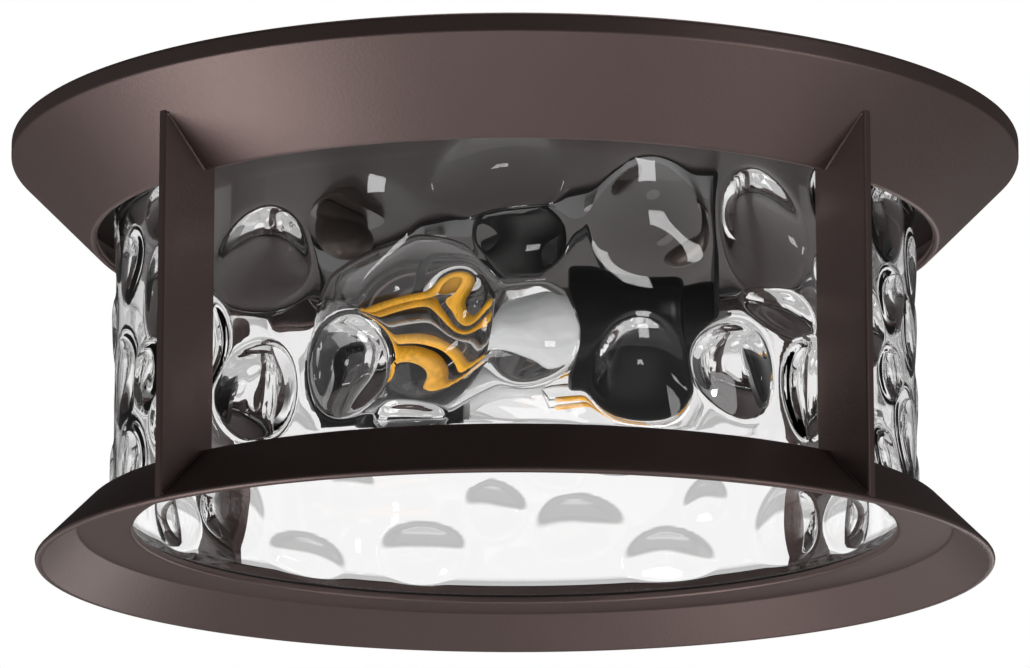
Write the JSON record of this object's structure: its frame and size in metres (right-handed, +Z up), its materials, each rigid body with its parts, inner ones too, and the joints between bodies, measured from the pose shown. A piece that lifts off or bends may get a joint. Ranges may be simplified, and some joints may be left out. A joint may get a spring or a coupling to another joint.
{
  "type": "flush ceiling light",
  "caption": "Round outdoor ceiling light: a dark cast cage with a conical skirt and flared bottom ring holds a glass cylinder around filament bulbs lying in sockets on a bent bracket.",
  "frame": {"origin": "middle of the ceiling plane, where the crossbar's top face and the skirt's top edge lie", "axes": "+Z up into the ceiling, the light hangs towards -Z; -Y is the front, towards the camera; +X is to the right in the picture, and both lamps lie along X"},
  "size_m": [0.33, 0.33, 0.14],
  "materials": {
    "cage_paint": "die-cast, with satin dark bronze paint",
    "pan_paint": "satin dark paint over steel sheet",
    "clear_glass": "clear, glossy, with pressed dimples",
    "bulb_glass": "clear, glossy",
    "black_glass": "black, glossy",
    "rubber": "matte",
    "insulation_mat": "glass-fibre mat",
    "zinc_steel": "zinc plated",
    "ball_nut_finish": "satin dark bronze",
    "green_paint": "green",
    "copper": "bare copper",
    "connector_plastic": "moulded",
    "socket_plastic": "black phenolic, satin",
    "brass": "plain",
    "cap_metal": "rolled, satin",
    "filament": "yellow phosphor coat",
    "support_wire": "drawn wire",
    "black_cord": "insulated wire",
    "white_cord": "insulated wire"
  },
  "bodies": {
    "fixture": {"back_lead_black": "black_cord", "back_lead_white": "white_cord", "back_socket_body": "socket_plastic", "back_socket_contact": "brass", "back_socket_nipple": "zinc_steel", "back_socket_nut": "zinc_steel", "back_socket_screw_shell": "brass", "bottom_ring": "cage_paint", "bracket_screws": "zinc_steel", "cage_screws": "zinc_steel", "canopy_pan": "pan_paint", "fin_back_left": "cage_paint", "fin_back_right": "cage_paint", "fin_front_left": "cage_paint", "fin_front_right": "cage_paint", "front_lead_black": "black_cord", "front_lead_white": "white_cord", "front_socket_body": "socket_plastic", "front_socket_contact": "brass", "front_socket_nipple": "zinc_steel", "front_socket_nut": "zinc_steel", "front_socket_screw_shell": "brass", "glass_cylinder": "clear_glass", "glass_seat_gasket": "rubber", "glass_top_gasket": "rubber", "ground_lead": "copper", "ground_screw": "green_paint", "insulation_pad": "insulation_mat", "lamp_bracket": "pan_paint", "mounting_crossbar": "zinc_steel", "mounting_studs": "zinc_steel", "pan_ground_screw": "green_paint", "stud_lock_nuts": "zinc_steel", "upper_skirt": "cage_paint", "wire_bushing": "rubber", "wire_connector_black": "connector_plastic", "wire_connector_white": "connector_plastic"},
    "front_bulb_contact": {"front_bulb_end_contact": "brass"},
    "front_bulb": {"front_bulb_cap": "cap_metal", "front_bulb_filaments": "filament", "front_bulb_glass": "bulb_glass", "front_bulb_insulator": "black_glass", "front_bulb_stem": "bulb_glass", "front_bulb_supports": "support_wire"},
    "back_bulb_contact": {"back_bulb_end_contact": "brass"},
    "back_bulb": {"back_bulb_cap": "cap_metal", "back_bulb_filaments": "filament", "back_bulb_glass": "bulb_glass", "back_bulb_insulator": "black_glass", "back_bulb_stem": "bulb_glass", "back_bulb_supports": "support_wire"},
    "left_washer": {"left_stud_washer": "zinc_steel"},
    "left_nut": {"left_ball_nut": "ball_nut_finish"},
    "right_washer": {"right_stud_washer": "zinc_steel"},
    "right_nut": {"right_ball_nut": "ball_nut_finish"}
  },
  "joints": [
    {"name": "front_bulb_withdraw", "type": "slide", "parent": "fixture", "child": "front_bulb_contact", "axis": [-1, 0, 0], "range_m": [0, 0.01452]},
    {"name": "front_bulb_turn", "type": "hinge", "parent": "front_bulb_contact", "child": "front_bulb", "pos_m": [0, -0.042, -0.07], "axis": [-1, 0, 0], "range_deg": [0, 1440]},
    {"name": "back_bulb_withdraw", "type": "slide", "parent": "fixture", "child": "back_bulb_contact", "axis": [1, 0, 0], "range_m": [0, 0.01452]},
    {"name": "back_bulb_turn", "type": "hinge", "parent": "back_bulb_contact", "child": "back_bulb", "pos_m": [0, 0.042, -0.07], "axis": [1, 0, 0], "range_deg": [0, 1440]},
    {"name": "left_nut_lower", "type": "slide", "parent": "fixture", "child": "left_washer", "axis": [0, 0, -1], "range_m": [0, 0.00635]},
    {"name": "left_nut_turn", "type": "hinge", "parent": "left_washer", "child": "left_nut", "pos_m": [-0.054, 0, -0.0246], "axis": [0, 0, -1], "range_deg": [0, 2880]},
    {"name": "right_nut_lower", "type": "slide", "parent": "fixture", "child": "right_washer", "axis": [0, 0, -1], "range_m": [0, 0.00635]},
    {"name": "right_nut_turn", "type": "hinge", "parent": "right_washer", "child": "right_nut", "pos_m": [0.054, 0, -0.0246], "axis": [0, 0, -1], "range_deg": [0, 2880]}
  ],
  "couplings": [
    {"joint": "front_bulb_turn", "follows": "front_bulb_withdraw", "rad_per_m": 1731.4},
    {"joint": "back_bulb_turn", "follows": "back_bulb_withdraw", "rad_per_m": 1731.4},
    {"joint": "left_nut_turn", "follows": "left_nut_lower", "rad_per_m": 7915.8},
    {"joint": "right_nut_turn", "follows": "right_nut_lower", "rad_per_m": 7915.8}
  ]
}
